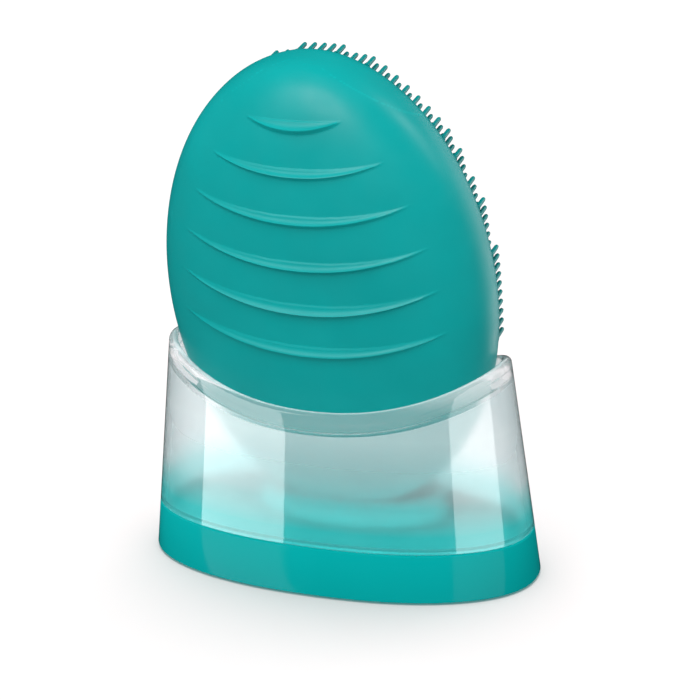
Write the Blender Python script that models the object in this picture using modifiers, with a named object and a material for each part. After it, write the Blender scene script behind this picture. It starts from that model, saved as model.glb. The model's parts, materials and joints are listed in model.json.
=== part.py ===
"""Facial cleansing brush standing in its storage stand, as an assembly of separate parts.

Frame: metres, +Z up. The origin is on the table, under the middle of the stand. X runs along the width,
-Y is the grip side with the finger ridges and +Y is the bristle side.

The brush is a flattened egg of silicone over a sealed plastic housing. It is modelled in a frame of its own,
whose origin is the egg's lower tip and whose Z is the egg's length. That frame leans towards the grip side.
"""

import math

import bmesh
import bpy
from mathutils import Vector

# ---------------------------------------------------------------- the stand
STAND_HALF_WIDTH = 0.046
STAND_HALF_DEPTH = 0.023
STAND_POWER = 2.2  # of the superellipse that the stand is in plan
WIDTH_TAPER = 2.4  # share of the half width lost in one metre of height
DEPTH_TAPER = 5.4
STAND_SEGMENTS = 44
FOOT_PROUD = 0.0005  # the feet lift the base off the table
SEAM_HEIGHT = 0.0112  # top of the opaque tray
RIM_LOW = 0.0422  # the rim at the middle of its front and back
RIM_RISE = 0.0098  # how much higher the rim is at its two ends
RIM_POWER = 2.1
TRAY_WALL = 0.0020
TRAY_FLOOR_TOP = 0.0092
TRAY_FLOOR = 0.0036
PLATE_THICKNESS = 0.0015
FOOT_RADIUS = 0.004
FOOT_HEIGHT = 0.0010
FOOT_X, FOOT_Y = 0.030, 0.009
REST_PAD_TOP = 0.0160
REST_PAD_HALF_WIDTH = 0.023
REST_PAD_HALF_DEPTH = 0.0115
CLEARANCE = 0.0003  # between pieces that touch

# ---------------------------------------------------------------- the brush
LEAN = math.radians(8.2)
BRUSH_FOOT = (0.0, 0.006, 0.0125)  # the egg's lower tip
EGG_LENGTH = 0.110
EGG_HALF_WIDTH = 0.0384
EGG_SKEW = 0.022  # makes the lower end a little fuller than the upper one
GRIP_DEPTH = 0.016  # from the widest contour to the front
BRISTLE_DEPTH = 0.012  # from the widest contour to the back
BLUNTNESS = 0.6  # how the depth fades towards the tips: lower is blunter
EGG_POWER = 2.4  # of the superellipse that a cross-section is
EGG_SEGMENTS, EGG_RINGS = 28, 16
SKIN = 0.0020
CORE_OUT = -(SKIN + CLEARANCE)  # outset of the inner housing's outer face
CORE_IN = CORE_OUT - 0.0016
SKIN_SPLIT = 0.0040  # the two skins meet at this depth, just behind the widest contour
CORE_SPLIT = 0.0032  # the two housing halves meet on a gasket at this depth
GASKET = 0.0006

BRISTLE_LENGTH = 0.0050
BRISTLE_INSET = 0.0009  # from the egg's outline to the outermost bristles
BRISTLE_LOW = 0.0340  # the lower edge of the bristle field, in the middle
BRISTLE_LOW_RISE = 0.0042  # how much higher that edge is at the sides

# Finger ridges, from the top down: half width, height of the tips, lowest point of the crescent's two edges.
RIDGES = [
    (0.0107, 0.0997, 0.0994, 0.0967),
    (0.0195, 0.0910, 0.0892, 0.0869),
    (0.0249, 0.0818, 0.0786, 0.0762),
    (0.0282, 0.0721, 0.0680, 0.0657),
    (0.0300, 0.0621, 0.0577, 0.0554),
    (0.0310, 0.0519, 0.0475, 0.0452),
]
RIDGE_HEIGHT = 0.0012

# Controls, low on the bristle side where the bristles stop: name, x, z, radius.
CONTROLS = [("power", 0.0, 0.0270, 0.0050), ("minus", -0.0140, 0.0285, 0.0040), ("plus", 0.0140, 0.0285, 0.0040)]
BUTTON_PROUD = 0.0004
BUTTON_THICKNESS = 0.0020
STEM_RADIUS = 0.0018
STEM_GAP = 0.0007  # the press travel of 0.6 mm, and a little over
LIGHT_Z = 0.0170
LIGHT_RADIUS = 0.0012

# Inside the housing.
BOARD_FRONT = 0.0014
BOARD_THICKNESS = 0.0012
BOARD_BACK = BOARD_FRONT + BOARD_THICKNESS
BOARD_HALF_WIDTH = 0.017
BOARD_LOW, BOARD_HIGH = 0.014, 0.060
BOARD_SCREW_X, BOARD_SCREW_Z = 0.013, 0.020
HOUSING_SCREWS = [(0.025, 0.045), (-0.025, 0.045), (0.020, 0.084), (-0.020, 0.084)]
BOSS_RADIUS = 0.0030
JACK_Y = -0.0017
JACK_RADIUS = 0.0028
MOTOR_Y, MOTOR_Z = -0.0018, 0.088
MOTOR_RADIUS = 0.005
BOOT_RADIUS = 0.0062
RIB_X = (-0.006, 0.0)
RIB_THICKNESS = 0.0015

TINTS = {  # colour, roughness, metallic, alpha
    "teal_silicone": ((0.0, 0.36, 0.33), 0.55, 0.0, 1.0),
    "teal_gloss": ((0.0, 0.36, 0.34), 0.15, 0.0, 1.0),
    "frosted_clear": ((0.85, 0.92, 0.93), 0.25, 0.0, 0.4),
    "white_abs": ((0.80, 0.80, 0.78), 0.45, 0.0, 1.0),
    "gasket_grey": ((0.20, 0.20, 0.21), 0.70, 0.0, 1.0),
    "foot_grey": ((0.45, 0.46, 0.46), 0.75, 0.0, 1.0),
    "board_green": ((0.02, 0.16, 0.07), 0.40, 0.0, 1.0),
    "black_plastic": ((0.03, 0.03, 0.03), 0.40, 0.0, 1.0),
    "steel": ((0.60, 0.60, 0.61), 0.30, 1.0, 1.0),
    "brass": ((0.72, 0.55, 0.25), 0.30, 1.0, 1.0),
    "cell_silver": ((0.62, 0.63, 0.64), 0.35, 0.6, 1.0),
    "foam_black": ((0.05, 0.05, 0.05), 0.90, 0.0, 1.0),
    "red_wire": ((0.60, 0.04, 0.03), 0.45, 0.0, 1.0),
    "black_wire": ((0.02, 0.02, 0.02), 0.45, 0.0, 1.0),
    "light_guide": ((0.90, 0.92, 0.92), 0.10, 0.0, 0.6),
}


# ---------------------------------------------------------------- scene helpers
def start_scene():
    """An empty scene with one collection for the parts and one for the cutters."""
    for old in list(bpy.data.objects):
        bpy.data.objects.remove(old)
    for name in ("facial_brush", "cutters"):
        made = bpy.data.collections.new(name)
        bpy.context.scene.collection.children.link(made)


def tint(name):
    """The Principled material of that name, made when it is first asked for."""
    found = bpy.data.materials.get(name)
    if found:
        return found
    colour, roughness, metallic, alpha = TINTS[name]
    made = bpy.data.materials.new(name)
    made.use_nodes = True
    shader = made.node_tree.nodes["Principled BSDF"]
    shader.inputs["Base Color"].default_value = (*colour, 1.0)
    shader.inputs["Roughness"].default_value = roughness
    shader.inputs["Metallic"].default_value = metallic
    shader.inputs["Alpha"].default_value = alpha
    made.diffuse_color = (*colour, alpha)
    return made


def empty(name, location, parent=None):
    made = bpy.data.objects.new(name, None)
    bpy.data.collections["facial_brush"].objects.link(made)
    made.location = location
    made.parent = parent
    return made


def place(name, data, tint_name=None, parent=None, location=(0, 0, 0)):
    """An object of that mesh or curve: a part if it has a tint, or else a cutter, which is left out of the model."""
    made = bpy.data.objects.new(name, data)
    made.parent = parent
    made.location = location
    if tint_name:
        made.data.materials.append(tint(tint_name))
        bpy.data.collections["facial_brush"].objects.link(made)
    else:
        bpy.data.collections["cutters"].objects.link(made)
        made.hide_render = True
        made.display_type = "WIRE"
    return made


def combine(part, other, operation):
    """Cuts other from part (DIFFERENCE), keeps what they share (INTERSECT) or joins them (UNION)."""
    step = part.modifiers.new(f"{operation.lower()}_{other.name}", "BOOLEAN")
    step.operation = operation
    step.object = other
    step.solver = "EXACT"


def cut(part, *others):
    for other in others:
        combine(part, other, "DIFFERENCE")
    return part


def keep(part, other):
    combine(part, other, "INTERSECT")
    return part


def join(part, other):
    combine(part, other, "UNION")
    return part


def mesh_from(build):
    """A mesh that build(bm) fills in."""
    bm = bmesh.new()
    build(bm)
    bm.normal_update()
    bmesh.ops.recalc_face_normals(bm, faces=bm.faces)
    mesh = bpy.data.meshes.new("shape")
    bm.to_mesh(mesh)
    bm.free()
    return mesh


def smooth(part):
    part.data.shade_smooth()
    part.data.set_sharp_from_angle(angle=math.radians(35))
    return part


def box_mesh(low, high):
    low, high = Vector(low), Vector(high)
    size = high - low

    def build(bm):
        bmesh.ops.create_cube(bm, size=1.0)
        for v in bm.verts:
            v.co = Vector(low[i] + (v.co[i] + 0.5) * size[i] for i in range(3))

    return mesh_from(build)


def rod_mesh(axis, start, end, radius, segments=16, top_radius=None):
    """A cylinder or cone about the origin, from start to end along the axis "X", "Y" or "Z"."""
    turn = {
        "X": lambda p: Vector((p.z, p.x, p.y)),
        "Y": lambda p: Vector((p.y, p.z, p.x)),
        "Z": lambda p: p.copy(),
    }[axis]

    def build(bm):
        bmesh.ops.create_cone(
            bm,
            cap_ends=True,
            segments=segments,
            radius1=radius,
            radius2=radius if top_radius is None else top_radius,
            depth=end - start,
        )
        for v in bm.verts:
            v.co = turn(v.co + Vector((0, 0, (start + end) / 2)))

    return mesh_from(build)


def signed_power(value, power):
    return math.copysign(abs(value) ** power, value)


# ---------------------------------------------------------------- stand shapes
def stand_outline(angle, height, inset):
    """A point on the stand's tapered outer face, moved in by inset."""
    half_width = STAND_HALF_WIDTH * (1 - WIDTH_TAPER * (height - FOOT_PROUD)) - inset
    half_depth = STAND_HALF_DEPTH * (1 - DEPTH_TAPER * (height - FOOT_PROUD)) - inset
    power = 2 / STAND_POWER
    across = signed_power(math.cos(angle), power)
    return Vector((half_width * across, half_depth * signed_power(math.sin(angle), power), height))


def rim_rise(angle):
    """How much higher the rim is at this angle than at the middle of the front."""
    return RIM_RISE * abs(math.cos(angle)) ** (RIM_POWER * 2 / STAND_POWER)


def stand_slice(low, high, inset):
    """The solid inside the stand's outer face, moved in by inset, between two heights."""

    def build(bm):
        bmesh.ops.create_cone(
            bm, cap_ends=True, segments=STAND_SEGMENTS, radius1=1, radius2=1, depth=high - low
        )
        for v in bm.verts:
            height = low if v.co.z < 0 else high
            v.co = stand_outline(math.atan2(v.co.y, v.co.x), height, inset)

    return mesh_from(build)


def stand_ring(name, profile, tint_name):
    """A ring round the stand whose section is profile: inset, height, and 1 where the point follows the rim."""
    bpy.ops.mesh.primitive_torus_add(major_segments=STAND_SEGMENTS, minor_segments=len(profile))
    torus = bpy.context.active_object
    mesh = torus.data
    bpy.data.objects.remove(torus)
    for v in mesh.vertices:
        turn, corner = divmod(v.index, len(profile))
        angle = 2 * math.pi * turn / STAND_SEGMENTS
        inset, height, follows = profile[corner]
        v.co = stand_outline(angle, height + follows * rim_rise(angle), inset)
    return smooth(place(name, mesh, tint_name))


def make_stand():
    stand_ring(
        "stand_shell",
        [
            (0.0000, SEAM_HEIGHT + CLEARANCE, 0),
            (0.0000, RIM_LOW - 0.0008, 1),
            (0.0006, RIM_LOW, 1),
            (0.0016, RIM_LOW, 1),
            (0.0022, RIM_LOW - 0.0006, 1),
            (0.0022, RIM_LOW - 0.0046, 1),
            (0.0017, RIM_LOW - 0.0050, 1),
            (0.0017, SEAM_HEIGHT + 0.0030, 0),
            (0.0034, SEAM_HEIGHT + 0.0016, 0),
            (0.0034, TRAY_FLOOR_TOP + CLEARANCE, 0),
            (0.0023, TRAY_FLOOR_TOP + CLEARANCE, 0),
            (0.0023, SEAM_HEIGHT + CLEARANCE, 0),
        ],
        "frosted_clear",
    )
    tray = smooth(place("stand_tray", stand_slice(FOOT_PROUD, SEAM_HEIGHT, 0), "teal_gloss"))
    floor_underside = TRAY_FLOOR_TOP - TRAY_FLOOR
    cut(
        tray,
        place("tray_recess", stand_slice(TRAY_FLOOR_TOP, SEAM_HEIGHT + 0.002, TRAY_WALL)),
        place("tray_hollow", stand_slice(FOOT_PROUD - 0.002, floor_underside, TRAY_WALL)),
    )
    plate = place(
        "stand_base_plate",
        stand_slice(FOOT_PROUD, FOOT_PROUD + PLATE_THICKNESS, TRAY_WALL + CLEARANCE),
        "teal_gloss",
    )
    recess_top = FOOT_HEIGHT + 0.0002
    corners = [(x, y) for x in (-FOOT_X, FOOT_X) for y in (-FOOT_Y, FOOT_Y)]
    for number, (x, y) in enumerate(corners, start=1):
        recess = rod_mesh("Z", -0.001, recess_top, FOOT_RADIUS + CLEARANCE)
        cut(plate, place(f"foot_recess_{number}", recess, location=(x, y, 0)))
        foot = rod_mesh("Z", 0, FOOT_HEIGHT, FOOT_RADIUS)
        smooth(place(f"stand_foot_{number}", foot, "foot_grey", location=(x, y, 0)))


def make_rest_pad(brush):
    """The soft cup on the tray's floor that the egg's lower end stands in."""

    def build(bm):
        low = TRAY_FLOOR_TOP + CLEARANCE
        bmesh.ops.create_cone(
            bm, cap_ends=True, segments=36, radius1=1, radius2=0.93, depth=REST_PAD_TOP - low
        )
        for v in bm.verts:
            v.co.x *= REST_PAD_HALF_WIDTH
            v.co.y = v.co.y * REST_PAD_HALF_DEPTH + BRUSH_FOOT[1]
            v.co.z += (REST_PAD_TOP + low) / 2

    pad = smooth(place("rest_pad", mesh_from(build), "teal_silicone"))
    cut(pad, place("rest_pad_cup", egg_mesh(CLEARANCE), parent=brush))


# ---------------------------------------------------------------- egg shapes
def egg_point(unit, outset):
    """Where a point of the unit sphere goes on the egg's face, moved out by outset."""
    ring = math.hypot(unit.x, unit.y)
    height = (EGG_LENGTH / 2 + outset) * unit.z + EGG_LENGTH / 2
    if ring < 1e-6:
        return Vector((0, 0, height))
    power = 2 / EGG_POWER
    across = signed_power(unit.x / ring, power)
    deep = signed_power(unit.y / ring, power)
    half_width = (EGG_HALF_WIDTH + outset) * ring * (1 - EGG_SKEW * unit.z)
    half_depth = ((GRIP_DEPTH if deep < 0 else BRISTLE_DEPTH) + outset) * ring**BLUNTNESS
    return Vector((half_width * across, half_depth * deep, height))


def egg_mesh(outset):
    """The egg moved out by outset, or in where that is negative."""

    def build(bm):
        bmesh.ops.create_uvsphere(bm, u_segments=EGG_SEGMENTS, v_segments=EGG_RINGS, radius=1)
        for v in bm.verts:
            v.co = egg_point(v.co.copy(), outset)

    return mesh_from(build)


def half_space(name, brush, low_y, high_y):
    """A box over the whole egg between two depths."""
    reach = EGG_LENGTH
    return place(name, box_mesh((-reach, low_y, -reach), (reach, high_y, 2 * reach)), parent=brush)


def outline_prism(name, brush, points, low_y, high_y):
    """A cutter: the closed outline of (x, z) points, extruded from low_y to high_y."""
    curve = bpy.data.curves.new(name, "CURVE")
    curve.dimensions = "2D"
    curve.fill_mode = "BOTH"
    curve.extrude = (high_y - low_y) / 2
    spline = curve.splines.new("POLY")
    spline.points.add(len(points) - 1)
    for spot, (x, z) in zip(spline.points, points):
        spot.co = (x, z, 0, 1)
    spline.use_cyclic_u = True
    flat = bpy.data.objects.new(name + "_outline", curve)
    bpy.context.scene.collection.objects.link(flat)
    flat.rotation_euler = (math.pi / 2, 0, 0)
    flat.location = (0, (low_y + high_y) / 2, 0)
    bpy.context.view_layer.update()
    graph = bpy.context.evaluated_depsgraph_get()
    mesh = bpy.data.meshes.new_from_object(flat.evaluated_get(graph))
    mesh.transform(flat.matrix_world)
    bpy.data.objects.remove(flat)
    bm = bmesh.new()
    bm.from_mesh(mesh)
    bmesh.ops.remove_doubles(bm, verts=bm.verts, dist=1e-6)
    bm.normal_update()
    bmesh.ops.recalc_face_normals(bm, faces=bm.faces)
    bm.to_mesh(mesh)
    bm.free()
    return place(name, mesh, parent=brush)


def crescent(half_width, tip_z, upper_z, lower_z, steps=8):
    """A smile between two tips: its upper and lower edges are parabolas."""
    across = [-half_width + 2 * half_width * i / steps for i in range(steps + 1)]
    lower = [(x, lower_z + (tip_z - lower_z) * (x / half_width) ** 2) for x in across]
    upper = [(x, upper_z + (tip_z - upper_z) * (x / half_width) ** 2) for x in across[1:-1]]
    return lower + upper[::-1]


def bristle_outline(steps=20):
    """The edge of the bristle field: the egg's outline moved in, closed below by a shallow smile."""
    middle = EGG_LENGTH / 2
    start_z = BRISTLE_LOW + BRISTLE_LOW_RISE
    start = math.asin((start_z - middle) / (middle - BRISTLE_INSET))
    around = []
    for i in range(steps + 1):
        angle = start + (math.pi - 2 * start) * i / steps
        rise = math.sin(angle)
        half_width = EGG_HALF_WIDTH * (1 - EGG_SKEW * rise) - BRISTLE_INSET
        around.append((half_width * math.cos(angle), middle + (middle - BRISTLE_INSET) * rise))
    side = around[0][0]
    below = [-side + 2 * side * i / 8 for i in range(1, 8)]
    return around + [(x, BRISTLE_LOW + BRISTLE_LOW_RISE * (x / side) ** 2) for x in below]


# ---------------------------------------------------------------- the silicone skins
def make_grip_skin(brush):
    """The front skin, with a crescent ridge under each finger row and a hole over the charging jack."""
    skin = smooth(place("grip_skin", egg_mesh(0), "teal_silicone", brush))
    keep(skin, half_space("grip_side_of_skin", brush, -EGG_LENGTH, SKIN_SPLIT))
    cut(skin, place("skin_hollow", egg_mesh(-SKIN), parent=brush))
    ridge_face = place("ridge_face", egg_mesh(RIDGE_HEIGHT), parent=brush)
    ridge_root = place("ridge_root", egg_mesh(-SKIN / 2), parent=brush)
    for number, ridge in enumerate(RIDGES, start=1):
        bar = outline_prism(f"ridge_{number}", brush, crescent(*ridge), -0.03, -0.002)
        cut(keep(bar, ridge_face), ridge_root)
        join(skin, bar)
    hole = rod_mesh("Z", -0.002, 0.004, 0.0018)
    cut(skin, place("charging_hole", hole, parent=brush, location=(0, JACK_Y, 0)))


def make_bristle_skin(brush):
    """The back skin, with holes for the three buttons and the status light."""
    skin = smooth(place("bristle_skin", egg_mesh(0), "teal_silicone", brush))
    keep(skin, half_space("bristle_side_of_skin", brush, SKIN_SPLIT + CLEARANCE, EGG_LENGTH))
    cut(skin, bpy.data.objects["skin_hollow"])
    for name, x, z, radius in CONTROLS:
        hole = rod_mesh("Y", 0.003, 0.02, radius + CLEARANCE, segments=24)
        cut(skin, place(f"{name}_skin_hole", hole, parent=brush, location=(x, 0, z)))
    hole = rod_mesh("Y", 0.003, 0.02, LIGHT_RADIUS + CLEARANCE)
    cut(skin, place("light_skin_hole", hole, parent=brush, location=(0, 0, LIGHT_Z)))


def make_bristle_field(brush):
    """One soft solid with the outer shape of all the bristles: their tips lie on the egg's back, moved out."""
    field = outline_prism("bristle_field_prism", brush, bristle_outline(), 0.002, 0.03)
    bpy.data.collections["cutters"].objects.unlink(field)
    bpy.data.collections["facial_brush"].objects.link(field)
    field.name = "bristle_field"
    field.hide_render = False
    field.display_type = "TEXTURED"
    field.data.materials.append(tint("teal_silicone"))
    tips = place("bristle_tips", egg_mesh(0), parent=brush, location=(0, BRISTLE_LENGTH, 0))
    roots = place("bristle_roots", egg_mesh(0), parent=brush, location=(0, CLEARANCE, 0))
    cut(keep(field, tips), roots)


# ---------------------------------------------------------------- the inner housing
def make_housing(brush):
    """Two plastic half shells on a flat gasket, with bosses for the screws and ribs that hold the motor."""
    hollow = place("housing_hollow", egg_mesh(CORE_IN), parent=brush)
    open_hollow = place("gasket_hollow", egg_mesh(CORE_IN), parent=brush)
    for number, (x, z) in enumerate(HOUSING_SCREWS, start=1):
        boss = rod_mesh("Y", -0.02, 0.02, BOSS_RADIUS, segments=12)
        cut(hollow, place(f"boss_{number}", boss, parent=brush, location=(x, 0, z)))
    for side in (-1, 1):
        post = rod_mesh("Y", -0.02, BOARD_FRONT - CLEARANCE, 0.0022, segments=12)
        where = (side * BOARD_SCREW_X, 0, BOARD_SCREW_Z)
        cut(hollow, place(f"board_post_{side}", post, parent=brush, location=where))
    for number, x in enumerate(RIB_X, start=1):
        low = (x - RIB_THICKNESS / 2, -0.02, MOTOR_Z - 0.008)
        high = (x + RIB_THICKNESS / 2, 0.02, MOTOR_Z + 0.008)
        cut(hollow, place(f"motor_rib_{number}", box_mesh(low, high), parent=brush))

    grip = smooth(place("core_grip_half", egg_mesh(CORE_OUT), "white_abs", brush))
    keep(grip, half_space("grip_side_of_core", brush, -EGG_LENGTH, CORE_SPLIT - GASKET))
    back = smooth(place("core_bristle_half", egg_mesh(CORE_OUT), "white_abs", brush))
    keep(back, half_space("bristle_side_of_core", brush, CORE_SPLIT + GASKET, EGG_LENGTH))
    cut(grip, hollow)
    cut(back, hollow)

    boot_room = rod_mesh("X", -0.0105, 0.0045, BOOT_RADIUS + CLEARANCE, segments=28)
    boot_room = place("boot_room", boot_room, parent=brush, location=(0, MOTOR_Y, MOTOR_Z))
    cut(grip, boot_room)
    cut(back, boot_room)
    jack_hole = rod_mesh("Z", 0.0, 0.006, JACK_RADIUS + CLEARANCE)
    cut(grip, place("jack_hole", jack_hole, parent=brush, location=(0, JACK_Y, 0)))
    for side in (-1, 1):
        pilot = rod_mesh("Y", -0.005, 0.003, 0.0011, segments=10)
        where = (side * BOARD_SCREW_X, 0, BOARD_SCREW_Z)
        cut(grip, place(f"board_pilot_{side}", pilot, parent=brush, location=where))
    for number, (x, z) in enumerate(HOUSING_SCREWS, start=1):
        pilot = rod_mesh("Y", -0.005, 0.02, 0.0013, segments=10)
        pilot = place(f"screw_pilot_{number}", pilot, parent=brush, location=(x, 0, z))
        cut(grip, pilot)
        sink = rod_mesh("Y", 0.0055, 0.02, 0.0022, segments=12)
        cut(back, pilot, place(f"screw_sink_{number}", sink, parent=brush, location=(x, 0, z)))
    for name, x, z, _ in CONTROLS:
        hole = rod_mesh("Y", 0.003, 0.02, STEM_RADIUS + 2 * CLEARANCE, segments=12)
        cut(back, place(f"{name}_core_hole", hole, parent=brush, location=(x, 0, z)))
    hole = rod_mesh("Y", 0.003, 0.02, LIGHT_RADIUS + CLEARANCE)
    cut(back, place("light_core_hole", hole, parent=brush, location=(0, 0, LIGHT_Z)))

    gasket = place("housing_gasket", egg_mesh(CORE_OUT), "gasket_grey", brush)
    half = GASKET / 2
    keep(gasket, half_space("gasket_slab", brush, CORE_SPLIT - half, CORE_SPLIT + half))
    cut(gasket, open_hollow)


def make_screw(name, brush, x, z, head_y, length, head_radius, shank_radius):
    """A pan-head screw driven in from the bristle side, with its head's underside at head_y."""
    screw = place(
        name,
        rod_mesh("Y", head_y, head_y + 0.0012, head_radius, 14, head_radius * 0.8),
        "steel",
        brush,
        (x, 0, z),
    )
    shank = rod_mesh("Y", head_y - length, head_y + 0.0004, shank_radius, 10)
    join(screw, place(name + "_shank", shank, parent=brush, location=(x, 0, z)))
    return screw


# ---------------------------------------------------------------- controls
def make_controls(brush):
    """Three silicone keys over three switches, and a light guide over a lamp."""
    face = place("button_face", egg_mesh(BUTTON_PROUD), parent=brush)
    underside = place(
        "button_underside", egg_mesh(BUTTON_PROUD - BUTTON_THICKNESS), parent=brush
    )
    for name, x, z, radius in CONTROLS:
        key = rod_mesh("Y", 0.004, 0.014, radius, segments=28)
        key = smooth(place(f"{name}_button", key, "teal_silicone", brush, (x, 0, z)))
        cut(keep(key, face), underside)
        body_top = BOARD_BACK + 0.0025
        plunger_top = body_top + 0.0010
        stem = rod_mesh("Y", plunger_top + STEM_GAP, 0.0094, STEM_RADIUS, segments=16)
        join(key, place(f"{name}_stem", stem, parent=brush, location=(x, 0, z)))

        half = 0.003
        low, high = (-half, BOARD_BACK + 0.0001, -half), (half, body_top, half)
        switch = place(f"{name}_switch", box_mesh(low, high), "black_plastic", brush, (x, 0, z))
        plunger = rod_mesh("Y", body_top - 0.0005, plunger_top, 0.0016, segments=16)
        join(switch, place(f"{name}_plunger", plunger, parent=brush, location=(x, 0, z)))

    guide = rod_mesh("Y", 0.0046, 0.012, LIGHT_RADIUS, segments=16)
    guide = smooth(place("status_light_guide", guide, "light_guide", brush, (0, 0, LIGHT_Z)))
    keep(guide, place("light_face", egg_mesh(0), parent=brush))
    lamp = box_mesh((-0.001, BOARD_BACK + 0.0001, -0.0008), (0.001, BOARD_BACK + 0.0012, 0.0008))
    place("status_lamp", lamp, "light_guide", brush, (0, 0, LIGHT_Z))


# ---------------------------------------------------------------- board, cell and motor
def rounded_box(name, low, high, tint_name, brush, radius, segments=2):
    part = place(name, box_mesh(low, high), tint_name, brush)
    bevel = part.modifiers.new("rounded_edges", "BEVEL")
    bevel.width = radius
    bevel.segments = segments
    bevel.limit_method = "ANGLE"
    return smooth(part)


def lead(name, route, tint_name, brush, radius=0.0005, samples=3):
    """A wire along a smooth curve through the route's points."""
    points = [Vector(p) for p in route]
    ends = [2 * points[0] - points[1], *points, 2 * points[-1] - points[-2]]
    line = []
    for before, start, end, after in zip(ends, ends[1:], ends[2:], ends[3:]):
        for i in range(samples):
            t = i / samples
            bend = (2 * before - 5 * start + 4 * end - after) * t**2
            twist = (3 * start - before - 3 * end + after) * t**3
            line.append((2 * start + (end - before) * t + bend + twist) / 2)
    line.append(points[-1])
    curve = bpy.data.curves.new(name, "CURVE")
    curve.dimensions = "3D"
    curve.bevel_depth = radius
    curve.bevel_resolution = 1
    curve.use_fill_caps = True
    spline = curve.splines.new("POLY")
    spline.points.add(len(line) - 1)
    for spot, p in zip(spline.points, line):
        spot.co = (*p, 1)
    return place(name, curve, tint_name, brush)


def make_board(brush):
    """The circuit board behind the cell, with its controller, battery header and charging jack."""
    low = (-BOARD_HALF_WIDTH, BOARD_FRONT, BOARD_LOW)
    high = (BOARD_HALF_WIDTH, BOARD_BACK, BOARD_HIGH)
    board = place("circuit_board", box_mesh(low, high), "board_green", brush)
    for side in (-1, 1):
        x = side * BOARD_SCREW_X
        hole = rod_mesh("Y", 0, 0.005, 0.0012, segments=12)
        where = (x, 0, BOARD_SCREW_Z)
        cut(board, place(f"board_hole_{side}", hole, parent=brush, location=where))
    for number, side in enumerate((-1, 1), start=1):
        x = side * BOARD_SCREW_X
        head_y = BOARD_BACK + 0.0001
        make_screw(f"board_screw_{number}", brush, x, BOARD_SCREW_Z, head_y, 0.006, 0.0019, 0.0008)
    face = BOARD_BACK + 0.0001
    chip = box_mesh((0.003, face, 0.045), (0.010, face + 0.001, 0.052))
    place("controller_chip", chip, "black_plastic", brush)
    header = box_mesh((-0.009, face, 0.052), (-0.003, 0.0062, 0.0570))
    place("battery_header", header, "white_abs", brush)
    plug = box_mesh((-0.0088, 0.0030, 0.0572), (-0.0032, 0.0059, 0.0620))
    place("battery_plug", plug, "white_abs", brush)

    jack_end = BOARD_LOW + 0.0005
    jack = rod_mesh("Z", 0, jack_end, JACK_RADIUS, segments=24)
    jack = smooth(place("charging_jack", jack, "black_plastic", brush, (0, JACK_Y, 0)))
    keep(jack, place("jack_face", egg_mesh(CORE_OUT), parent=brush))
    bore = rod_mesh("Z", 0, jack_end - 0.0015, 0.0013, segments=16)
    cut(jack, place("jack_bore", bore, parent=brush, location=(0, JACK_Y, 0)))
    pin = rod_mesh("Z", 0.0045, jack_end - 0.0016, 0.0005, segments=12)
    smooth(place("charging_pin", pin, "brass", brush, (0, JACK_Y, 0)))


def make_cell(brush):
    """The flat lithium cell, its foam pad and its two leads, which cross the top of the board to the plug."""
    rounded_box(
        "battery_cell", (-0.017, -0.0092, 0.030), (0.017, -0.0032, 0.072), "cell_silver", brush, 0.0015
    )
    pad = box_mesh((-0.012, -0.0030, 0.034), (0.012, 0.0012, 0.056))
    place("battery_foam_pad", pad, "foam_black", brush)
    for colour, plug_x, cell_x in (("red", -0.0072, -0.0110), ("black", -0.0048, -0.0070)):
        route = [
            (plug_x, 0.0044, 0.0622),
            (plug_x, 0.0046, 0.0660),
            ((plug_x + cell_x) / 2, 0.0034, 0.0715),
            (cell_x, -0.0005, 0.0753),
            (cell_x, -0.0045, 0.0753),
            (cell_x, -0.0062, 0.0722),
        ]
        lead(f"battery_lead_{colour}", route, f"{colour}_wire", brush)


def make_motor(brush):
    """The vibration motor in its rubber boot, with an eccentric weight on its shaft."""
    centre = (0, MOTOR_Y, MOTOR_Z)
    can = rod_mesh("X", -0.012, 0.006, MOTOR_RADIUS, segments=28)
    can = smooth(place("motor_can", can, "steel", brush, centre))
    bore = rod_mesh("X", -0.008, 0.010, 0.0010, segments=16)
    cut(can, place("motor_bore", bore, parent=brush, location=centre))
    cap = rod_mesh("X", -0.0140, -0.0121, MOTOR_RADIUS - 0.0004, segments=24)
    smooth(place("motor_end_cap", cap, "black_plastic", brush, centre))
    boot = rod_mesh("X", -0.0100, 0.0040, BOOT_RADIUS, segments=28)
    boot = smooth(place("motor_boot", boot, "gasket_grey", brush, centre))
    inner = rod_mesh("X", -0.0200, 0.0200, MOTOR_RADIUS + 0.0001, segments=28)
    cut(boot, place("boot_hollow", inner, parent=brush, location=centre))

    rotor = empty("rotor_axis", centre, brush)
    shaft = rod_mesh("X", -0.0070, 0.0150, 0.00075, segments=16)
    smooth(place("motor_shaft", shaft, "steel", rotor))
    weight = rod_mesh("X", 0.0080, 0.0146, 0.0046, segments=28)
    weight = smooth(place("eccentric_weight", weight, "brass", rotor))
    cut(
        weight,
        place("weight_flat", box_mesh((0, -0.01, 0.0016), (0.02, 0.01, 0.01)), parent=rotor),
        place("weight_bore", rod_mesh("X", 0, 0.02, 0.0008, segments=16), parent=rotor),
    )
    for colour, start_z, x, y, end_x in (
        ("red", 0.0905, -0.0158, 0.0, -0.0126),
        ("black", 0.0852, -0.0153, -0.0024, -0.0110),
    ):
        route = [
            (-0.0144, y, start_z),
            (x, y, start_z - 0.0013),
            (x, y, 0.0790),
            ((x + end_x) / 2, 0.0014, 0.0710),
            (end_x, 0.0044, 0.0630),
            (end_x, 0.0045, 0.0580),
            (end_x, 0.0032, 0.0560),
        ]
        lead(f"motor_lead_{colour}", route, f"{colour}_wire", brush)


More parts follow.
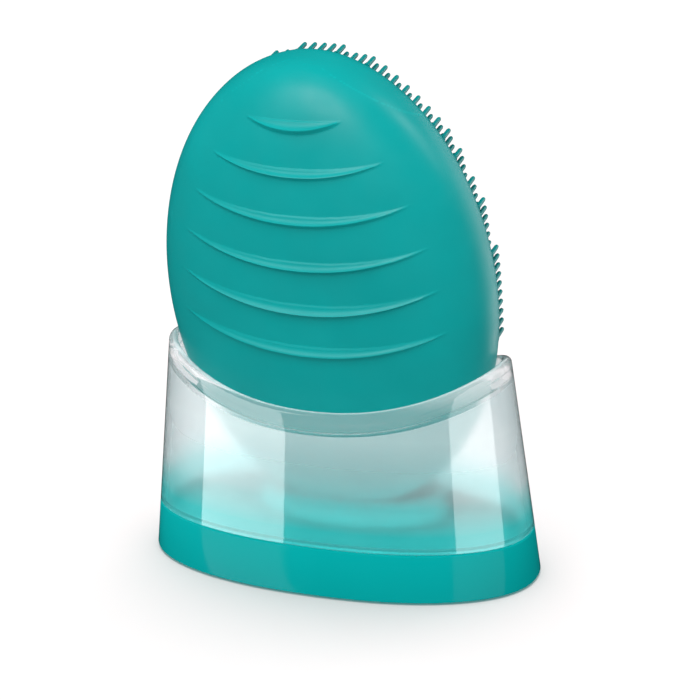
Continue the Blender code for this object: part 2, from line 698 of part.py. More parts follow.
def main():
    start_scene()
    brush = empty("brush_frame", BRUSH_FOOT)
    brush.rotation_euler = (LEAN, 0, 0)
    make_stand()
    make_rest_pad(brush)
    make_grip_skin(brush)
    make_bristle_skin(brush)
    make_bristle_field(brush)
    make_housing(brush)
    for number, (x, z) in enumerate(HOUSING_SCREWS, start=1):
        make_screw(f"housing_screw_{number}", brush, x, z, 0.0056, 0.009, 0.0019, 0.0010)
    make_controls(brush)
    make_board(brush)
    make_cell(brush)
    make_motor(brush)
    bpy.context.view_layer.update()


main()
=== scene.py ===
"""Looks of the facial cleansing brush and its storage stand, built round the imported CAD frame.

The frame is in metres with +Z up. The brush has a frame of its own: its origin is the egg's lower tip and its
Z is the egg's length, and it leans towards the grip side (-Y). Both skins, the bristles, the buttons, the
shell and the tray get a finer mesh here. Every other CAD part keeps its mesh and gets a better material.
"""

import json
import math

import bmesh
import bpy
import numpy as np
from mathutils import Matrix, Vector


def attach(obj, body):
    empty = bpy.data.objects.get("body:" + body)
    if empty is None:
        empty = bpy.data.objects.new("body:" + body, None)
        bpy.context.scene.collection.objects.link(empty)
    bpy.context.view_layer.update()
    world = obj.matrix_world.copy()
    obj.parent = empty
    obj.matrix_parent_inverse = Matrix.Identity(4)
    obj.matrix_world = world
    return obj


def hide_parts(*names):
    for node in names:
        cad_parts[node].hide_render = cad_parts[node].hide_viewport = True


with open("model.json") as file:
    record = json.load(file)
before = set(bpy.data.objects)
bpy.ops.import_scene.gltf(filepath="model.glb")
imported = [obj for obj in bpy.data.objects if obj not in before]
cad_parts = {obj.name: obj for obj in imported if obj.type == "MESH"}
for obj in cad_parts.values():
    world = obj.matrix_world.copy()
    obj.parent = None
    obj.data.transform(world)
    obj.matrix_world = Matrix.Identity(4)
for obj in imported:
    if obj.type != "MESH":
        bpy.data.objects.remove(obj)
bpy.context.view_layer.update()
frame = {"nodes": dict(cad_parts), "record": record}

# ---------------------------------------------------------------- the egg, as in the CAD
LEAN = math.radians(8.2)
BRUSH_FOOT = (0.0, 0.006, 0.0125)
EGG_LENGTH = 0.110
EGG_HALF_WIDTH = 0.0384
EGG_SKEW = 0.022
GRIP_DEPTH = 0.016
BRISTLE_DEPTH = 0.012
BLUNTNESS = 0.6
EGG_POWER = 2.4
SKIN = 0.0020
SKIN_SPLIT = 0.0040
GAP = 0.0003
FIRST_ROW, LAST_ROW = 1.2, 178.8  # degrees from the lower tip to the first and last ring of the mesh

# ---------------------------------------------------------------- surface detail, unlike the CAD's
RIDGES = [  # half width, height of the tips, lowest point of the upper and of the lower edge
    (0.01065, 0.09965, 0.0994, 0.0967),
    (0.01945, 0.0910, 0.0892, 0.0869),
    (0.02485, 0.0817, 0.0786, 0.0763),
    (0.0282, 0.0720, 0.0680, 0.0658),
    (0.0300, 0.0621, 0.0578, 0.0554),
    (0.03085, 0.0519, 0.0475, 0.0453),
]
RIDGE_HEIGHT = 0.0010
RIDGE_LIP = 0.00035  # from the dark edge under a ridge up to its lip
RIDGE_STEP = 0.20  # share of the height that the thin upper line takes
RIDGE_FLARE = 2.2  # how quickly a ridge falls off above its lip: higher is quicker
RIDGE_UNDERCUT = 0.00055  # height of the steep face under a lip
LIP_FITTING_STEPS = 8  # rounds that bring the mesh rows onto the lips

BRISTLE_PITCH = 0.00225
BRISTLE_RADIUS = 0.00055
BRISTLE_SIDES = 10
BRISTLE_LENGTH = 0.0050
BRISTLE_INSET = 0.0016
BRISTLE_TOP = 0.1078  # the highest row of the grid
BRISTLE_SKEW = 0.05  # the field is a little fuller below than the egg is
BRISTLE_LOW = 0.0350
BRISTLE_LOW_RISE = 0.0036

# ---------------------------------------------------------------- controls and stand
CONTROLS = [  # name, x, z, radius
    ("power", 0.0, 0.0270, 0.0050),
    ("minus", -0.0140, 0.0285, 0.0040),
    ("plus", 0.0140, 0.0285, 0.0040),
]
BUTTON_PROUD = 0.0004
BUTTON_THICKNESS = 0.0020
STEM_RADIUS = 0.0018
STEM_END = 0.0068
LIGHT_Z = 0.0170
LIGHT_RADIUS = 0.0012
KEY_SIDES = 64
KEY_DISH = 0.00018  # depth of the shallow dish in a key
MARK_HEIGHT = 0.00028
MARK_BEVEL = 0.00008

STAND_HALF_WIDTH = 0.046
STAND_HALF_DEPTH = 0.023
STAND_POWER = 2.2
WIDTH_TAPER = 2.4
DEPTH_TAPER = 5.4
FOOT_PROUD = 0.0005
SEAM_HEIGHT = 0.0112
RIM_LOW = 0.0422
RIM_RISE = 0.0098
RIM_POWER = 2.1
TRAY_FLOOR_TOP = 0.0092
TRAY_UNDERSIDE = 0.0056
STAND_SEGMENTS = 288
LIP_RADIUS = 0.0011
COLLAR = 0.0050  # how far the polished collar reaches down from the rim
SHELL_WALL = 0.0017

# ---------------------------------------------------------------- colours, linear
TEAL = (0.0, 0.330, 0.325)
TEAL_LIGHT = (0.0, 0.385, 0.378)
TEAL_DEEP = (0.0, 0.302, 0.297)
# painted shade: the two colours below are darker copies of the teal silicone, standing in for the bristles
# being less lit
TEAL_PAINTED_SHADE = (0.0, 0.270, 0.265)
TEAL_PAINTED_DEEPER_SHADE = (0.0, 0.205, 0.200)

# ---------------------------------------------------------------- camera and lights
CAMERA_AZIMUTH = math.radians(22.46)
CAMERA_ELEVATION = math.radians(20.0)
CAMERA_ROLL = math.radians(2.50)
CAMERA_TARGET = Vector((0.0, 0.0, 0.0605))
CAMERA_DISTANCE = 0.600
CAMERA_LENS = 138.64
CAMERA_SHIFT = (0.0207, -0.0603)
SURROUND_SOFT = 0.68
SURROUND_MIRRORED = 0.01
LIGHTS_CENTRE = Vector((0, 0, 0.05))
FLOOR_HALF = 1.2


# ================================================================ meshes
def egg_points(along, around, outset=0.0):
    """Points of the egg's face moved out by outset.

    along runs from 0 at the lower tip to pi at the upper one.
    """
    ring, rise = np.sin(along), -np.cos(along)
    reach = (np.abs(np.cos(around)) ** EGG_POWER + np.abs(np.sin(around)) ** EGG_POWER) ** (-1 / EGG_POWER)
    across, deep = reach * np.cos(around), reach * np.sin(around)
    half_width = (EGG_HALF_WIDTH + outset) * ring * (1 - EGG_SKEW * rise)
    half_depth = (np.where(deep < 0, GRIP_DEPTH, BRISTLE_DEPTH) + outset) * ring**BLUNTNESS
    height = (EGG_LENGTH / 2 + outset) * rise + EGG_LENGTH / 2
    return np.stack([half_width * across, half_depth * deep, height * np.ones_like(across)], axis=-1)


def back_face_depth(x, z, outset=0.0):
    """The local y of the egg's bristle side over the point (x, z), or nan outside its outline."""
    rise = (z - EGG_LENGTH / 2) / (EGG_LENGTH / 2 + outset)
    ring = np.sqrt(np.maximum(1e-9, 1 - rise**2))
    across = np.abs(x) / ((EGG_HALF_WIDTH + outset) * ring * (1 - EGG_SKEW * rise))
    left = np.where(across < 1, 1 - np.minimum(across, 1) ** EGG_POWER, np.nan)
    return (BRISTLE_DEPTH + outset) * ring**BLUNTNESS * left ** (1 / EGG_POWER)


def ridge_height(x, z):
    """How far the finger ridges stand out of the egg's face at the local point (x, z)."""
    height = np.zeros_like(x)
    for half_width, tip_z, upper_z, lower_z in RIDGES:
        side = np.clip(np.abs(x) / half_width, 0, 1)
        lip = lower_z + RIDGE_LIP + (tip_z - lower_z - RIDGE_LIP) * side**2
        upper = upper_z + (tip_z - upper_z) * side**2
        up = np.clip((z - lip) / np.maximum(upper - lip, 1e-5), 0, 2)
        flare = (1 - RIDGE_STEP) * np.maximum(0, 1 - up) ** RIDGE_FLARE
        step = RIDGE_STEP * smooth_step((1.06 - up) / 0.12)
        under = smooth_step(1 + (z - lip) / RIDGE_UNDERCUT)
        fade = (1 - side**2) ** 0.8
        height = np.maximum(height, RIDGE_HEIGHT * fade * under * (flare + step))
    return height


def smooth_step(t):
    t = np.clip(t, 0, 1)
    return t * t * (3 - 2 * t)


def follow_ridges(along, around):
    """Bends the mesh rows into smiles that run exactly along the lips of the ridges."""
    table = np.array(RIDGES)[::-1]
    lips = table[:, 3] + RIDGE_LIP
    middle_z = egg_points(along, around)[..., 2]
    half_width = np.interp(middle_z, lips, table[:, 0])
    rise = np.interp(middle_z, lips, table[:, 1] - lips)
    window = smooth_step((middle_z - 0.022) / 0.020) * smooth_step((0.1085 - middle_z) / 0.011)
    front = smooth_step((0.35 - np.sin(around)) / 0.6)
    warped = along
    for _ in range(LIP_FITTING_STEPS):
        side = np.abs(egg_points(warped, around)[..., 0]) / half_width
        lift = np.where(side < 1, side**2, 1 + (1 - np.exp(-6 * np.maximum(side - 1, 0))) / 3)
        z = middle_z + rise * lift * window * front
        warped = np.arccos(np.clip(1 - z / (EGG_LENGTH / 2), -1, 1))
    return warped


def mesh_object(name, vertices, faces, materials, body):
    """A smooth-shaded mesh object that rides on a body."""
    mesh = bpy.data.meshes.new(name)
    mesh.from_pydata([tuple(v) for v in vertices], [], [tuple(f) for f in faces])
    return finish_object(name, mesh, materials, body)


def finish_object(name, mesh, materials, body, sharp=40):
    for material in materials:
        mesh.materials.append(material)
    mesh.shade_smooth()
    mesh.set_sharp_from_angle(angle=math.radians(sharp))
    made = bpy.data.objects.new(name, mesh)
    bpy.context.scene.collection.objects.link(made)
    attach(made, body)
    return made


def brush_matrix():
    return Matrix.Translation(BRUSH_FOOT) @ Matrix.Rotation(LEAN, 4, "X")


def closed_grid(points):
    """Vertices and quads of a grid of points (rows, columns) whose columns close into rings."""
    rows, columns = points.shape[:2]
    index = np.arange(rows * columns).reshape(rows, columns)
    after = np.roll(index, -1, axis=1)
    quads = np.stack([index[:-1], after[:-1], after[1:], index[1:]], axis=-1).reshape(-1, 4)
    return points.reshape(-1, 3), quads


def egg_grid(along, around, outset=None):
    """The egg as vertices and faces, with a fan at each tip. An outset of None gives the ridged face."""
    theta, beta = np.meshgrid(along, around, indexing="ij")
    if outset is None:
        theta = follow_ridges(theta, beta)
        plain = egg_points(theta, beta)
        on_front = plain[..., 1] < 0
        shape = egg_points(theta, beta, ridge_height(plain[..., 0], plain[..., 2]) * on_front)
    else:
        shape = egg_points(theta, beta, outset)
    vertices, quads = closed_grid(shape)
    lift = 0.0 if outset is None else outset
    tips = np.array([[0, 0, -lift], [0, 0, EGG_LENGTH + lift]])
    count, columns = len(vertices), len(around)
    faces = quads.tolist()
    for i in range(columns):
        j = (i + 1) % columns
        faces.append([count, j, i])
        faces.append([count + 1, count - columns + i, count - columns + j])
    return np.vstack([vertices, tips]), faces


def half_egg_skin(outer, inner, cut_y, keep_front):
    """A skin between two closed eggs, on one side of the plane y = cut_y, closed along its edge."""
    bm = bmesh.new()
    for (vertices, faces), flip in ((outer, False), (inner, True)):
        made = [bm.verts.new(v) for v in vertices]
        for face in faces:
            corners = [made[i] for i in face]
            bm.faces.new(corners[::-1] if flip else corners)
    bmesh.ops.bisect_plane(
        bm,
        geom=bm.verts[:] + bm.edges[:] + bm.faces[:],
        dist=1e-7,
        plane_co=(0, cut_y, 0),
        plane_no=(0, 1, 0),
        clear_outer=keep_front,
        clear_inner=not keep_front,
    )
    edge = [e for e in bm.edges if e.is_boundary]
    bmesh.ops.bridge_loops(bm, edges=edge)
    bmesh.ops.recalc_face_normals(bm, faces=bm.faces)
    mesh = bpy.data.meshes.new("skin")
    bm.to_mesh(mesh)
    bm.free()
    mesh.transform(brush_matrix())
    return mesh


def rows_between(*spans):
    """Angles from tip to tip: each span is an end in degrees and the number of rows up to it."""
    rows, start = [], FIRST_ROW
    for end, count in spans:
        rows.extend(np.linspace(start, end, count, endpoint=False))
        start = end
    return np.radians(np.append(rows, start))


def inner_face():
    """The inside of the skins, which nothing shows: a coarser egg."""
    along = rows_between((12, 8), (168, 40), (LAST_ROW, 8))
    return egg_grid(along, np.radians(np.linspace(-180, 180, 72, endpoint=False)), -SKIN)


def make_grip_skin(material):
    """The front skin, with the mesh closer where the ridges are."""
    along = rows_between((12, 14), (66, 46), (160, 360), (170, 26), (LAST_ROW, 14))
    ridged_side = np.linspace(-196, 16, 196, endpoint=False)
    plain_side = np.linspace(16, 164, 32, endpoint=False)
    around = np.radians(np.concatenate([ridged_side, plain_side]))
    mesh = half_egg_skin(egg_grid(along, around), inner_face(), SKIN_SPLIT, True)
    skin = finish_object("grip_skin_silicone", mesh, [material], "brush", 55)
    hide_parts("grip_skin")


def make_bristle_skin(material):
    along = rows_between((12, 16), (168, 130), (LAST_ROW, 16))
    around = np.radians(np.linspace(-180, 180, 160, endpoint=False))
    mesh = half_egg_skin(egg_grid(along, around, 0.0), inner_face(), SKIN_SPLIT + GAP, False)
    skin = finish_object("bristle_skin_silicone", mesh, [material], "brush", 50)
    for name, x, z, radius in [*CONTROLS, ("light", 0.0, LIGHT_Z, LIGHT_RADIUS)]:
        drill(skin, name, x, z, radius + GAP)
    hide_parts("bristle_skin")


def drill(piece, name, x, z, radius):
    """Cuts a round hole through the bristle skin at the local point (x, z)."""
    bm = bmesh.new()
    bmesh.ops.create_cone(bm, cap_ends=True, segments=64, radius1=radius, radius2=radius, depth=0.020)
    bmesh.ops.rotate(bm, verts=bm.verts, matrix=Matrix.Rotation(math.pi / 2, 3, "X"))
    bmesh.ops.translate(bm, verts=bm.verts, vec=(x, 0.015, z))
    bm.transform(brush_matrix())
    mesh = bpy.data.meshes.new(name + "_drill")
    bm.to_mesh(mesh)
    bm.free()
    tool = bpy.data.objects.new(name + "_drill", mesh)
    bpy.context.scene.collection.objects.link(tool)
    cut = piece.modifiers.new(name, "BOOLEAN")
    cut.operation = "DIFFERENCE"
    cut.solver = "EXACT"
    cut.object = tool
    bpy.context.view_layer.update()
    result = bpy.data.meshes.new_from_object(piece.evaluated_get(bpy.context.evaluated_depsgraph_get()))
    piece.modifiers.clear()
    piece.data = result
    bpy.data.objects.remove(tool)


def bristle_places():
    """Local (x, z) of every bristle: a square grid inside an egg-shaped edge, above a shallow smile."""
    columns = math.floor(EGG_HALF_WIDTH / BRISTLE_PITCH)
    side = EGG_HALF_WIDTH - BRISTLE_INSET
    places = []
    for x in BRISTLE_PITCH * np.arange(-columns, columns + 1):
        lowest = BRISTLE_LOW + BRISTLE_LOW_RISE * (x / side) ** 2
        for z in np.arange(BRISTLE_TOP, lowest, -BRISTLE_PITCH):
            rise = (z - EGG_LENGTH / 2) / (EGG_LENGTH / 2 - BRISTLE_INSET)
            half_width = side * (1 - BRISTLE_SKEW * rise)
            if abs(x) < half_width * math.sqrt(1 - rise**2):
                places.append((float(x), float(z)))
    return places


def make_bristles(material):
    """Every bristle as a closed rod with a flared foot and a domed tip."""
    around = np.linspace(0, 2 * math.pi, BRISTLE_SIDES, endpoint=False)
    ring = np.stack([np.cos(around), np.sin(around)], axis=-1)
    dome = BRISTLE_RADIUS * 0.92
    profile = [  # radius, distance from the skin
        (BRISTLE_RADIUS * 1.55, -0.0004),
        (BRISTLE_RADIUS * 1.45, 0.0),
        (BRISTLE_RADIUS * 1.12, 0.00025),
        (BRISTLE_RADIUS, 0.0007),
        (dome, BRISTLE_LENGTH - 0.0008),
        (dome * 0.87, BRISTLE_LENGTH - 0.00045),
        (dome * 0.50, BRISTLE_LENGTH - 0.00022),
    ]
    vertices, faces = [], []
    size = len(ring)
    for x, z in bristle_places():
        root = float(back_face_depth(np.array(x), np.array(z)))
        start = len(vertices)
        for radius, out in profile:
            vertices.extend((x + radius * a, root + out, z + radius * b) for a, b in ring)
        for level in range(len(profile) - 1):
            for i in range(size):
                j = (i + 1) % size
                low, high = start + level * size, start + (level + 1) * size
                faces.append((low + j, low + i, high + i, high + j))
        faces.append(tuple(start + i for i in range(size)))
        top = start + (len(profile) - 1) * size
        vertices.append((x, root + BRISTLE_LENGTH - 0.00015, z))
        faces.extend((top + (i + 1) % size, top + i, len(vertices) - 1) for i in range(size))
    matrix = brush_matrix()
    vertices = [matrix @ Vector(v) for v in vertices]
    field = mesh_object("silicone_bristles", vertices, faces, [material], "brush")
    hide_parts("bristle_field")


def round_key(name, x0, z0, radius, mark):
    """A soft key that follows the egg's back, with a rolled edge, a shallow dish and a raised mark."""
    rings = [  # share of the radius, share of the dish's depth
        (0.35, 1.0),
        (0.6, 0.9),
        (0.78, 0.45),
        (0.88, 0.05),
        (0.94, 0.0),
        (0.98, 0.05),
        (1.0, 0.2),
    ]
    around = np.linspace(0, 2 * math.pi, KEY_SIDES, endpoint=False)
    bm = bmesh.new()
    loops = []

    def loop(share, top, drop):
        made = []
        for angle in around:
            x, z = x0 + radius * share * math.cos(angle), z0 + radius * share * math.sin(angle)
            outset = BUTTON_PROUD if top else BUTTON_PROUD - BUTTON_THICKNESS
            y = float(back_face_depth(np.array(x), np.array(z), outset)) - drop
            made.append(bm.verts.new((x, y, z)))
        return made

    for share, dish in rings:
        loops.append(loop(share, True, dish * KEY_DISH))
    loops.append(loop(1.0, True, 0.0006))
    loops.append(loop(1.0, False, -0.0002))
    loops.append(loop(0.96, False, 0.0))
    loops.append(loop(STEM_RADIUS / radius, False, 0.0))
    stem = [bm.verts.new((v.co.x, STEM_END, v.co.z)) for v in loops[-1]]
    loops.append(stem)
    for first, second in zip(loops, loops[1:]):
        for i in range(len(around)):
            j = (i + 1) % len(around)
            bm.faces.new((first[i], first[j], second[j], second[i]))
    bm.faces.new(loops[0][::-1])
    bm.faces.new(loops[-1])
    face_y = loops[0][0].co.y - 0.0001
    for low, high in mark:
        made = bmesh.ops.create_cube(bm, size=1.0)["verts"]
        for v in made:
            v.co = Vector(
                (
                    x0 + low[0] + (v.co.x + 0.5) * (high[0] - low[0]),
                    face_y + (v.co.y + 0.5) * MARK_HEIGHT,
                    z0 + low[1] + (v.co.z + 0.5) * (high[1] - low[1]),
                )
            )
        edges = {e for v in made for e in v.link_edges}
        bmesh.ops.bevel(bm, geom=list(edges), offset=MARK_BEVEL, segments=2, affect="EDGES")
    bm.normal_update()
    bmesh.ops.recalc_face_normals(bm, faces=bm.faces)
    bm.transform(brush_matrix())
    mesh = bpy.data.meshes.new(name)
    bm.to_mesh(mesh)
    bm.free()
    return mesh


def make_buttons(material):
    arm, half = 0.0015, 0.00022
    bar = [((-arm, -half), (arm, half))]
    upright = [((-half, half + 0.00002), (half, arm)), ((-half, -arm), (half, -half - 0.00002))]
    marks = {"power": [((-half, -arm), (half, arm))], "minus": bar, "plus": bar + upright}
    for name, x, z, radius in CONTROLS:
        mesh = round_key(f"{name}_key", x, z, radius, marks[name])
        key = finish_object(f"{name}_key", mesh, [material], f"{name}_button", 50)
        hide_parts(f"{name}_button")


# ---------------------------------------------------------------- the stand
def stand_sweep(name, profile, materials, slots=None, capped=False):
    """Sweeps a section round the stand. A profile point is inset, height, and 1 where it follows the rim."""
    angle = np.linspace(0, 2 * math.pi, STAND_SEGMENTS, endpoint=False)
    cosine, sine = np.cos(angle), np.sin(angle)
    reach = (np.abs(cosine) ** STAND_POWER + np.abs(sine) ** STAND_POWER) ** (-1 / STAND_POWER)
    across, deep = reach * cosine, reach * sine
    saddle = RIM_RISE * np.abs(across) ** RIM_POWER
    rings = []
    for inset, height, follows in profile:
        z = height + follows * saddle
        half_width = STAND_HALF_WIDTH * (1 - WIDTH_TAPER * (z - FOOT_PROUD)) - inset
        half_depth = STAND_HALF_DEPTH * (1 - DEPTH_TAPER * (z - FOOT_PROUD)) - inset
        rings.append(np.stack([half_width * across, half_depth * deep, z], axis=-1))
    if not capped:
        rings.append(rings[0])
    vertices, faces = closed_grid(np.array(rings))
    faces = faces.tolist()
    face_slots = None
    if slots is not None:
        face_slots = np.repeat(slots, STAND_SEGMENTS).astype(np.int32)
    if capped:
        last = len(vertices) - STAND_SEGMENTS
        faces.append(list(range(STAND_SEGMENTS))[::-1])
        faces.append(list(range(last, last + STAND_SEGMENTS)))
    mesh = bpy.data.meshes.new(name)
    mesh.from_pydata([tuple(v) for v in vertices], [], faces)
    if face_slots is not None:
        mesh.polygons.foreach_set("material_index", face_slots)
    bm = bmesh.new()
    bm.from_mesh(mesh)
    bmesh.ops.remove_doubles(bm, verts=bm.verts, dist=1e-7)
    bm.normal_update()
    bmesh.ops.recalc_face_normals(bm, faces=bm.faces)
    bm.to_mesh(mesh)
    bm.free()
    return finish_object(name, mesh, materials, "stand", 35)


def arc(centre_inset, centre_height, radius, start, end, steps, follows):
    """Profile points on an arc, its angles in degrees: 0 points inwards and 90 points up."""
    angles = np.radians(np.linspace(start, end, steps))
    return [
        (centre_inset + radius * math.cos(a), centre_height + radius * math.sin(a), follows) for a in angles
    ]


def make_shell(clear, milky_with_painted_glow, etched):
    """The see-through cup: a rounded lip, a polished collar, and a wall that is etched on the inside."""
    outside = [
        (0.0, SEAM_HEIGHT + GAP + 0.0002, 0),
        (0.0, RIM_LOW - COLLAR, 1),
        (0.0, RIM_LOW - LIP_RADIUS, 1),
    ]
    lip = arc(LIP_RADIUS, RIM_LOW - LIP_RADIUS, LIP_RADIUS, 180, 0, 9, 1)[1:]
    collar = [
        (0.0022, RIM_LOW - 0.0031, 1),
        (0.0020, RIM_LOW - 0.0032, 1),
        (0.0020, RIM_LOW - 0.0034, 1),
        (0.0022, RIM_LOW - 0.0035, 1),
        (0.0022, RIM_LOW - 0.0046, 1),
        (0.0021, RIM_LOW - 0.0048, 1),
    ]
    inside = [
        (SHELL_WALL, RIM_LOW - COLLAR, 1),
        (SHELL_WALL, SEAM_HEIGHT + 0.0012, 0),
        (0.0034, SEAM_HEIGHT - 0.0004, 0),
        (0.0034, TRAY_FLOOR_TOP + GAP, 0),
        (0.0023, TRAY_FLOOR_TOP + GAP, 0),
        (0.0023, SEAM_HEIGHT + GAP, 0),
        (0.0002, SEAM_HEIGHT + GAP, 0),
    ]
    profile = outside + lip + collar + inside
    slots = [0] * len(profile)
    slots[0] = 1
    for i in range(len(outside) + 2, len(outside) + 4):
        slots[i] = 1
    first = len(outside) + len(lip) + len(collar)
    for i in range(first - 1, first + 3):
        slots[i] = 2
    shell = stand_sweep("shell_frosted", profile, [clear, milky_with_painted_glow, etched], slots=slots)
    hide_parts("stand_shell")
    return shell


def make_tray(material):
    profile = [(0.0020, TRAY_UNDERSIDE, 0), (0.0020, FOOT_PROUD, 0), (0.0004, FOOT_PROUD, 0)]
    profile += [(0.0001, FOOT_PROUD + 0.0001, 0), (0.0, FOOT_PROUD + 0.0004, 0)]
    profile += [(0.0, SEAM_HEIGHT - 0.0002, 0), (0.00006, SEAM_HEIGHT - 0.00006, 0), (0.0002, SEAM_HEIGHT, 0)]
    profile += [(0.0019, SEAM_HEIGHT, 0), (0.0020, SEAM_HEIGHT - 0.0001, 0)]
    profile += [(0.0020, TRAY_FLOOR_TOP + 0.0003, 0), (0.0021, TRAY_FLOOR_TOP + 0.0001, 0)]
    profile += [(0.0023, TRAY_FLOOR_TOP, 0)]
    tray = stand_sweep("tray_glossy", profile, [material], capped=True)
    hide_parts("stand_tray")
    return tray


# ================================================================ materials
class Finish:
    """A Principled material that is built up from noise in the part's own coordinates."""

    def __init__(self, name, roughness=0.5, **sockets):
        self.material = bpy.data.materials.new(name)
        self.material.use_nodes = True
        self.tree = self.material.node_tree
        self.shader = self.tree.nodes["Principled BSDF"]
        self.place = self.add("ShaderNodeTexCoord").outputs["Object"]
        self.shader.inputs["Roughness"].default_value = roughness
        for socket, value in sockets.items():
            self.shader.inputs[socket.replace("_", " ")].default_value = value

    def add(self, kind, **values):
        node = self.tree.nodes.new(kind)
        for key, value in values.items():
            setattr(node, key, value)
        return node

    def link(self, output, target):
        self.tree.links.new(output, target)

    def noise(self, scale, detail=2.0, stretch=None):
        node = self.add("ShaderNodeTexNoise")
        node.inputs["Scale"].default_value = scale
        node.inputs["Detail"].default_value = detail
        source = self.place
        if stretch:
            mapping = self.add("ShaderNodeMapping")
            mapping.inputs["Scale"].default_value = stretch
            self.link(source, mapping.inputs["Vector"])
            source = mapping.outputs["Vector"]
        self.link(source, node.inputs["Vector"])
        return node.outputs["Fac"]

    def ranged(self, value, low, high, start=0.35, end=0.65):
        node = self.add("ShaderNodeMapRange")
        for socket, number in zip(("From Min", "From Max", "To Min", "To Max"), (start, end, low, high)):
            node.inputs[socket].default_value = number
        self.link(value, node.inputs["Value"])
        return node.outputs["Result"]

    def mix(self, share, first, second):
        node = self.add("ShaderNodeMix", data_type="RGBA")
        self.link(share, node.inputs["Factor"])
        for socket, colour in ((node.inputs[6], first), (node.inputs[7], second)):
            if isinstance(colour, tuple):
                socket.default_value = (*colour, 1.0)
            else:
                self.link(colour, socket)
        return node.outputs[2]

    def colour(self, source):
        self.link(source, self.shader.inputs["Base Color"])
        return self

    def mottled(self, first, second, scale, detail=3.0):
        """Two close colours in soft patches."""
        return self.mix(self.ranged(self.noise(scale, detail), 0.0, 1.0), first, second)

    def worn_edges(self, source, colour, start=0.53, end=0.62, most=0.5):
        """A second colour along the convex edges."""
        edge = self.add("ShaderNodeNewGeometry").outputs["Pointiness"]
        return self.mix(self.ranged(edge, 0.0, most, start, end), source, colour)

    def rough(self, scale, low, high, detail=3.0, stretch=None):
        self.link(self.ranged(self.noise(scale, detail, stretch), low, high), self.shader.inputs["Roughness"])
        return self

    def passes_light(self, tint):
        """Lets lamps and soft light through the wall, as thin clear plastic does."""
        ray = self.add("ShaderNodeLightPath")
        either = self.add("ShaderNodeMath", operation="MAXIMUM")
        self.link(ray.outputs["Is Shadow Ray"], either.inputs[0])
        self.link(ray.outputs["Is Diffuse Ray"], either.inputs[1])
        through = self.add("ShaderNodeBsdfTransparent")
        through.inputs["Color"].default_value = (*tint, 1.0)
        both = self.add("ShaderNodeMixShader")
        self.link(either.outputs["Value"], both.inputs["Fac"])
        self.link(self.shader.outputs["BSDF"], both.inputs[1])
        self.link(through.outputs["BSDF"], both.inputs[2])
        self.link(both.outputs["Shader"], self.tree.nodes["Material Output"].inputs["Surface"])
        return self

    def grain(self, height, depth, strength=1.0):
        bump = self.add("ShaderNodeBump")
        bump.inputs["Distance"].default_value = depth
        bump.inputs["Strength"].default_value = strength
        self.link(height, bump.inputs["Height"])
        self.link(bump.outputs["Normal"], self.shader.inputs["Normal"])
        return self


def silicone(name, light, deep, edge):
    """Soft-touch moulded silicone: matte, with a fine grain and a dry sheen."""
    made = Finish(name, Specular_IOR_Level=0.12)
    made.colour(made.worn_edges(made.mottled(light, deep, 45), edge))
    made.rough(160, 0.34, 0.42)
    return made.grain(made.noise(5200, 2), 0.00002, 0.5).material


def plain_finish(name, first, second, patch, rough, grain, depth, **sockets):
    """A moulded, rolled or coated surface: two close colours, uneven gloss and a fine grain."""
    made = Finish(name, **sockets)
    lighter = tuple(min(1.0, 1.25 * c + 0.02) for c in first)
    made.colour(made.worn_edges(made.mottled(first, second, patch), lighter))
    made.rough(patch * 3, *rough)
    return made.grain(made.noise(grain, 3), depth, 0.6).material


def tray_gloss():
    made = Finish("tray_polished_teal", Specular_IOR_Level=0.05)
    made.colour(made.mottled((0.002, 0.350, 0.345), (0.001, 0.330, 0.325), 30))
    made.rough(220, 0.05, 0.11)
    return made.grain(made.noise(700, 2), 0.000006, 0.3).material


def shell_face(name, rough, grain, ior=1.49, **sockets):
    """One clear face of the see-through wall."""
    made = Finish(name, Transmission_Weight=1.0, IOR=ior, **sockets)
    made.colour(made.mottled((0.980, 0.975, 0.985), (0.965, 0.965, 0.975), 120))
    made.rough(600, *rough)
    made.grain(made.noise(grain[0], 3), grain[1], 0.5)
    return made.passes_light((0.96, 0.98, 0.98))


def shell_haze(face):
    """A polished rim that turns milky towards its two high ends."""
    height = face.add("ShaderNodeSeparateXYZ")
    face.link(face.place, height.inputs["Vector"])
    share = face.ranged(height.outputs["Z"], 0.93, 0.72, 0.0435, 0.0500)
    face.link(share, face.shader.inputs["Transmission Weight"])
    return face


def shell_milk_and_painted_glow(face):
    """A milky share on a face of the wall, by height: white under the collar, and next to the tray a painted
    teal glow that stands in for the teal tray and brush seen through the wall.
    """
    height = face.add("ShaderNodeSeparateXYZ")
    face.link(face.place, height.inputs["Vector"])
    z = height.outputs["Z"]
    most = face.add("ShaderNodeMath", operation="MINIMUM")
    face.link(face.ranged(z, 0.70, 0.88, 0.014, 0.022), most.inputs[0])
    face.link(face.ranged(z, 0.90, 0.60, 0.020, 0.037), most.inputs[1])
    face.link(most.outputs["Value"], face.shader.inputs["Transmission Weight"])
    white = face.mottled((0.885, 0.955, 0.970), (0.855, 0.935, 0.955), 120)
    # painted glow: this teal milk near the tray stands in for teal light from the tray and the brush behind
    # the wall
    painted_teal_glow = face.mottled((0.12, 0.86, 0.85), (0.10, 0.82, 0.81), 90)
    face.colour(face.mix(face.ranged(z, 0.0, 1.0, 0.0155, 0.0235), painted_teal_glow, white))
    return face


def brushed_metal(name, colour, stretch):
    made = Finish(name, Metallic=1.0)
    darker = tuple(0.82 * c for c in colour)
    made.colour(made.mottled(colour, darker, 300))
    made.rough(900, 0.18, 0.42, 2, stretch)
    return made.grain(made.noise(2500, 2, stretch), 0.00001, 0.4).material


